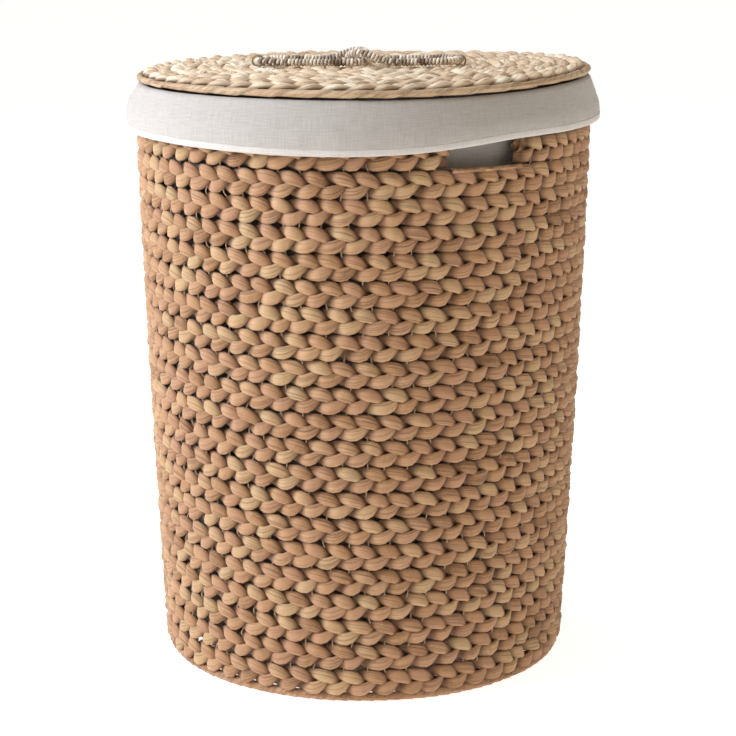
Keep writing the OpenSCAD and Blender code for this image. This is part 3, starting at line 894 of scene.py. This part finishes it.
def cord_recipe():
    tree, size = new_recipe("wound_cord", CORD_INPUTS)
    curve = add(tree, "GeometryNodeMeshToCurve", [size["Geometry"]]).outputs[0]
    count = formula(tree, "t * n", t=size["Turns"], n=size["Per turn"])
    curve = add(tree, "GeometryNodeResampleCurve", {"Curve": curve, "Count": count}).outputs[0]
    core_line = add(tree, "GeometryNodeResampleCurve", {"Curve": curve, "Count": 180}).outputs[0]
    index = add(tree, "GeometryNodeInputIndex").outputs[0]
    turn = formula(tree, "i / n", i=index, n=size["Per turn"])

    # the twine runs round the core: a step sideways and a step up at every point
    tangent = add(tree, "GeometryNodeInputTangent").outputs[0]
    side = add(tree, "ShaderNodeVectorMath", [tangent, UP], operation="CROSS_PRODUCT").outputs[0]
    side = add(tree, "ShaderNodeVectorMath", [side], operation="NORMALIZE").outputs[0]
    up = add(tree, "ShaderNodeVectorMath", [side, tangent], operation="CROSS_PRODUCT").outputs[0]
    reach = formula(tree, "core + h / 2", core=size["Core radius"], h=size["Twine height"])
    across, above = (
        add(tree, "ShaderNodeVectorMath", {
            "Vector": way, "Scale": formula(tree, f"r * {wave}(t * 6.28319)", r=reach, t=turn)},
            operation="SCALE").outputs[0] for way, wave in ((side, "cos"), (up, "sin")))
    offset = add(tree, "ShaderNodeVectorMath", [across, above]).outputs[0]
    coil = add(tree, "GeometryNodeSetPosition", {"Geometry": curve, "Offset": offset}).outputs[0]
    coil = add(tree, "GeometryNodeSetCurveNormal", {"Curve": coil}, mode="MINIMUM_TWIST").outputs[0]

    # the shade of a turn: mostly its own, partly shared with its neighbours
    own, group = (
        add(tree, "FunctionNodeRandomValue", {"ID": formula(tree, rule, t=turn), "Seed": seed},
            data_type="FLOAT").outputs[1]
        for rule, seed in (("floor(t)", size["Seed"]), ("floor(t / 4)", 91)))
    shade = formula(tree, "own * 0.9 + group * 0.7 - 0.3", own=own, group=group)
    coil = add(tree, "GeometryNodeStoreNamedAttribute",
               {"Geometry": coil, "Name": "leaf", "Value": shade}, data_type="FLOAT").outputs[0]
    whole = add(tree, "GeometryNodeJoinGeometry")
    twine_r = formula(tree, "w / 2", w=size["Twine width"])
    for way, sides, radius in ((core_line, 10, size["Core radius"]), (coil, 6, twine_r)):
        ring = add(tree, "GeometryNodeCurvePrimitiveCircle",
                   {"Resolution": sides, "Radius": radius}, mode="RADIUS").outputs[0]
        tube = add(tree, "GeometryNodeCurveToMesh",
                   {"Curve": way, "Profile Curve": ring}).outputs[0]
        tree.links.new(tube, whole.inputs[0])
    return close_recipe(tree, whole.outputs[0], size["Finish"])


cord = cord_recipe()
print("cord recipe:", len(cord.nodes), "nodes")

# %% Loops and lashings
TWINE_PITCH = 3.7 * MM      # length of cord that one turn of twine covers
for side, tag in ((-1, "left"), (1, "right")):
    points, around = loop_line("handle_loop_" + tag, side)
    path = bpy.data.meshes.new("loop_path")
    path.from_pydata(points, [(k, (k + 1) % len(points)) for k in range(len(points))], [])
    loop = grow(f"handle_loop_{tag}_wound", cord, {
        "Turns": float(round(around / TWINE_PITCH)), "Seed": 11 + side, "Finish": cord_twine,
        "Core radius": 2.6 * MM, "Twine width": 3.3 * MM, "Twine height": 0.0}, path)
    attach(loop, tag + "_loop")
    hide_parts("handle_loop_" + tag)
    lashing = nodes["handle_lashing_" + tag]
    lashing.data.materials.clear()
    lashing.data.materials.append(seam_twine)
    print(tag, "loop length in mm:", round(around / MM, 1), "faces:", len(loop.data.polygons))

# %% [markdown]
# ## Finish: washed linen
# The liner is plain-woven linen: two sets of threads at right angles, uneven and
# slubby, off-white and soft, with a faint fuzz at grazing light. The weave runs on
# the cloth's own UV map, in metres, so it turns with the cloth over the rim.

# %% Linen
THREAD_MM = 0.9


def linen(name, pale, shade):
    """Plain-woven linen between two shades of off-white."""
    material, tree, shader = new_finish(name)
    cloth_uv = add(tree, "ShaderNodeUVMap", uv_map="UVMap").outputs[0]
    run = add(tree, "ShaderNodeSeparateXYZ", [cloth_uv])
    x, y = run.outputs[0], run.outputs[1]
    # slubs: thick places, long along a thread and short across it
    slubs = []
    for a, b in ((x, y), (y, x)):
        at = add(tree, "ShaderNodeCombineXYZ", [
            formula(tree, "a * 55", a=a), formula(tree, "b * 900", b=b), 0.0]).outputs[0]
        slubs.append(add(tree, "ShaderNodeTexNoise",
                         {"Vector": at, "Scale": 1.0, "Detail": 2.0}).outputs[0])
    # real linen has a thread about every 0.5 mm; drawn at THREAD_MM so that it shows
    weave = formula(tree, "abs(sin(x * k)) * p + abs(sin(y * k)) * q", x=x, y=y,
                    k=math.pi / (THREAD_MM * MM), p=slubs[0], q=slubs[1])
    tone = formula(tree, "0.35 + weave * 0.25 + (p + q - 1) * 0.9",
                   weave=weave, p=slubs[0], q=slubs[1])
    ramp = add(tree, "ShaderNodeValToRGB", [tone])
    ramp.color_ramp.elements[0].color = linear(shade)
    ramp.color_ramp.elements[1].color = linear(pale)
    tree.links.new(ramp.outputs[0], shader.inputs["Base Color"])
    height = formula(tree, "weave + (p + q) * 0.8", weave=weave, p=slubs[0], q=slubs[1])
    raised = add(tree, "ShaderNodeBump",
                 {"Strength": 0.45, "Distance": 0.35 * MM, "Height": height})
    tree.links.new(raised.outputs[0], shader.inputs["Normal"])
    shader.inputs["Roughness"].default_value = 0.92
    shader.inputs["Sheen Weight"].default_value = 0.3
    shader.inputs["Sheen Roughness"].default_value = 0.4
    return material


liner_linen = linen("washed_linen", "#c1bbb2", "#a39b91")
hem_linen = linen("washed_linen_hem", "#d8d1c8", "#bfb7ac")
print("linen:", liner_linen.name, hem_linen.name)

# %% [markdown]
# ## The liner
# The bag's wall, its fold over the rim and the turned-down cuff are one cloth,
# swept round the basket along the line that the design gives. It is cut a little
# full: the bag has long soft folds inside, the cuff small puckers, and the hem
# hangs about 11 mm lower on the left than on the right. The wall is cut as a strip
# as wide as the rim is round, taken in towards the bottom, and the bottom is a disc.

# %% Liner line
side_low, side_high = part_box("liner_side")
cuff_low, cuff_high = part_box("liner_cuff")
fold_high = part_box("liner_fold")[1]
CLOTH = 1.2 * MM            # thickness
SIDE_ROWS = 37              # rows of points up the bag's side
FOLD_ANGLES = range(165, 14, -15)
bag_top_r, bag_z, bag_top_z = side_high[0] - CLOTH / 2, side_low[2], side_high[2]
bag_low_r = ring_size("liner_bottom")[0] - CLOTH / 2
rim_r, rim_z = ring_size("rim_ring")[0] - 4.5 * MM, ring_size("rim_ring")[1]
arch_r = fold_high[2] - CLOTH / 2 - rim_z
hem_r, hem_top = cuff_high[0] - CLOTH / 2, cuff_low[2]
cuff_r = hem_r - 3.5 * MM

profile = [(bag_low_r + (bag_top_r - bag_low_r) * t, bag_z + (bag_top_z - bag_z) * t)
           for t in (k / (SIDE_ROWS - 1) for k in range(SIDE_ROWS))]
profile += [(rim_r + arch_r * math.cos(math.radians(a)),
             rim_z + arch_r * math.sin(math.radians(a))) for a in FOLD_ANGLES]
wall_top = bag_top_z + 4 * MM
profile += [(cuff_r - 0.9 * MM, wall_top - 4 * MM), (cuff_r, wall_top - 8.8 * MM)]
profile += [(cuff_r + (hem_r - cuff_r) * (1 - (1 - t) ** 2.4), wall_top - 8.8 * MM
             + (hem_top - wall_top + 8.8 * MM) * t) for t in (0.15, 0.3, 0.45, 0.6, 0.75, 0.9, 1.0)]
run_length = [0.0]
for (r0, z0), (r1, z1) in zip(profile, profile[1:]):
    run_length.append(run_length[-1] + math.hypot(r1 - r0, z1 - z0))
print("cloth from the bottom seam to the hem in mm:", round(run_length[-1] / MM))


# %% Cloth helpers
def hem_shift(angle):
    """How far the hem hangs off its even line: lowest in front, and lower at the left."""
    off_front = math.degrees(min(angle, TURN - angle))
    over_hole = math.exp(-((math.degrees(angle) - 36) / 16) ** 2)
    return (5.8 * math.sin(angle - math.radians(12)) - 1.0 + 3.2 * over_hole
            + 9.0 * (1 - math.exp(-(off_front / 42) ** 2))) * MM


def pucker(angle, z, seed, size):
    """A smooth noise round the basket, the same at both ends of the turn."""
    return noise.noise(Vector((math.sin(angle) * size, math.cos(angle) * size, z * 14 + seed)))


def swept_cloth(name, rows, place, columns=420):
    """A cloth swept round Z: place(row, angle) gives each point; UVs are in metres."""
    verts = [place(k, TURN * c / columns) for k in range(rows) for c in range(columns)]
    quads = [(k * columns + c, (k + 1) * columns + c, (k + 1) * columns + (c + 1) % columns,
              k * columns + (c + 1) % columns) for k in range(rows - 1) for c in range(columns)]
    mesh = bpy.data.meshes.new(name)
    mesh.from_pydata(verts, [], quads)
    uv = mesh.uv_layers.new(name="UVMap")
    lengths = [0.0]
    for k in range(1, rows):
        step = Vector(verts[k * columns]) - Vector(verts[(k - 1) * columns])
        lengths.append(lengths[-1] + step.length)
    around = TURN * hem_r
    for k in range(rows - 1):
        v0, v1 = lengths[k], lengths[k + 1]
        for c in range(columns):
            u0, u1 = around * c / columns, around * (c + 1) / columns
            start = (k * columns + c) * 4
            for n, value in enumerate(((u0, v0), (u0, v1), (u1, v1), (u1, v0))):
                uv.data[start + n].uv = value
    for face in mesh.polygons:
        face.use_smooth = True
    piece = bpy.data.objects.new(name, mesh)
    scene.collection.objects.link(piece)
    return piece


def thickened(piece, finish):
    """Give a sheet its cloth and its thickness, half to each side."""
    piece.data.materials.append(finish)
    thick = piece.modifiers.new("thickness", "SOLIDIFY")
    thick.thickness = CLOTH
    thick.offset = 0.0


# %% Liner wall and cuff
first_cuff = SIDE_ROWS + len(FOLD_ANGLES)


def liner_place(row, angle):
    r, z = profile[row]
    if row < SIDE_ROWS:
        t = row / (SIDE_ROWS - 1)
        # long folds of a bag that is a little too wide, held at its two ends; inwards only
        slack = math.sin(math.pi * t) ** 0.6
        folds = 1 + math.sin(angle * 17 + 3 * pucker(angle, t * 0.05, 4, 2.0))
        r -= slack * (1.2 * MM + 1.6 * MM * folds
                      + 1.6 * MM * (0.5 + pucker(angle, z * 0.3, 9, 7)))
    elif row < first_cuff:
        z += 0.25 * MM * (1 + pucker(angle, 0, 2, 9))
    else:
        t = (row - first_cuff + 1) / (len(profile) - first_cuff)
        r += t ** 0.6 * (0.6 * MM * (1 + pucker(angle, z * 3, 5, 13))
                         + 1.3 * MM * (0.5 + pucker(angle, z, 8, 6)))
        # the cuff billows a little below the rim, most on the left
        r += 3.4 * MM * t ** 0.4 * (1 - t) * (1.6 - math.sin(angle))
        z += t * hem_shift(angle)
    return (r * math.sin(angle), -r * math.cos(angle), z)


liner = swept_cloth("liner_wall_and_cuff", len(profile), liner_place)
thickened(liner, liner_linen)
print("liner faces before thickness:", len(liner.data.polygons))

# %% Hem band
# a flat folded band in mm: out over the cloth's edge, down, and back up behind it
HEM_OUTLINE = ((-0.9, 1.2), (-0.2, 1.4), (0.8, 1.1), (1.0, 0.0), (1.0, -2.6), (0.8, -4.9),
               (0.1, -5.6), (-0.6, -5.4), (-0.9, -4.6), (-1.0, -2.6), (-0.95, 0.0), (-0.9, 1.2))
HEM_STITCHES = 330


def hem_place(row, angle):
    edge = Vector(liner_place(len(profile) - 1, angle))
    radius = math.hypot(edge.x, edge.y)
    out, up = HEM_OUTLINE[row]
    wave = 0.25 * MM * pucker(angle, 0, 3, 30)
    r = radius + out * MM + wave
    return (r * math.sin(angle), -r * math.cos(angle), edge.z + up * MM)


hem = swept_cloth("liner_hem_band", len(HEM_OUTLINE), hem_place, 300)
hem.data.materials.append(hem_linen)
seam_places = []
for k in range(HEM_STITCHES):
    angle = TURN * k / HEM_STITCHES
    edge = Vector(liner_place(len(profile) - 1, angle))
    radius = math.hypot(edge.x, edge.y) + 0.95 * MM
    out = outward(angle)
    seam_places.append(((out[0] * radius, out[1] * radius, edge.z + 0.1 * MM), out,
                        (math.cos(angle), math.sin(angle), 0.0)))
hem_thread = sewn("liner_hem_thread", seam_places, "liner", "hem_cloth", hem_linen,
                  Length=3.1 * MM, Bow=0.12 * MM, Thickness=0.5 * MM, Slant=0.0, Seed=8)
print("hem stitches:", len(seam_places))

# %% Liner bottom
BOTTOM_ROWS = 15
bottom_r = bag_low_r + 0.5 * MM
bottom_z = ring_size("liner_bottom")[1]


def bottom_place(row, angle):
    share = row / (BOTTOM_ROWS - 1)
    r = bottom_r * max(share, 0.004)
    lift = 1.4 * MM * (0.6 + pucker(angle, r * 3, 6, 3)) * (1 - share ** 4)
    return (r * math.sin(angle), -r * math.cos(angle), bottom_z + max(lift, 0))


bottom = swept_cloth("liner_bottom_cloth", BOTTOM_ROWS, bottom_place, 120)
# the smallest ring of points is a tiny hole, which one face closes
closing = bmesh.new()
closing.from_mesh(bottom.data)
hole_edge = [e for e in closing.edges if e.is_boundary and e.verts[0].co.xy.length < 0.02]
bmesh.ops.contextual_create(closing, geom=hole_edge)
bmesh.ops.reverse_faces(closing, faces=closing.faces)
closing.to_mesh(bottom.data)
closing.free()
thickened(bottom, liner_linen)
print("bottom disc in mm:", round(2 * bottom_r / MM))

# %% [markdown]
# ## How the lid sits
# A woven lid is never quite flat, and the cloth folded under it isn't equally
# thick all round. This lid rides up by about 9 mm at its right edge and 2.5 mm at
# the back. One rule moves every finished mesh of the lid, the handle and the cloth
# over the rim, so pieces that touch stay in touch. The cloth's share of the rise
# fades to nothing above the hem.

# %% Ride up
RISE_RIGHT, RISE_BACK = 8.5, 2.5    # in mm, at 225 mm to the right and 230 mm to the back


def ride_up(piece, low_z, high_z):
    """Raise a piece's points towards the right edge; nothing moves below low_z."""
    for point in piece.data.vertices:
        share = min(max((point.co.z - low_z) / (high_z - low_z), 0), 1)
        point.co.z += share * (RISE_RIGHT * (max(point.co.x, 0) / 0.225) ** 2
                               + RISE_BACK * (max(point.co.y, 0) / 0.23) ** 2) * MM


spokes = nodes["lid_spokes"].copy()
spokes.data = nodes["lid_spokes"].data.copy()
spokes.name = "lid_spokes_bent"
scene.collection.objects.link(spokes)
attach(spokes, "lid")
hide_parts("lid_spokes")
risen = [piece for piece in scene.objects if piece.type == "MESH" and piece not in nodes.values()
         and piece.name.startswith(("lid_", "handle_"))]
for piece in risen:
    ride_up(piece, 0.0, 0.01)
ride_up(liner, hem_top + 14 * MM, rim_z)
print("pieces that follow the lid's rise:", len(risen))

# %% Liner sheets
for piece, cad in ((liner, ("liner_side", "liner_fold", "liner_cuff")),
                   (hem, ("liner_hem",)), (bottom, ("liner_bottom",))):
    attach(piece, "liner")
    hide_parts(*cad)
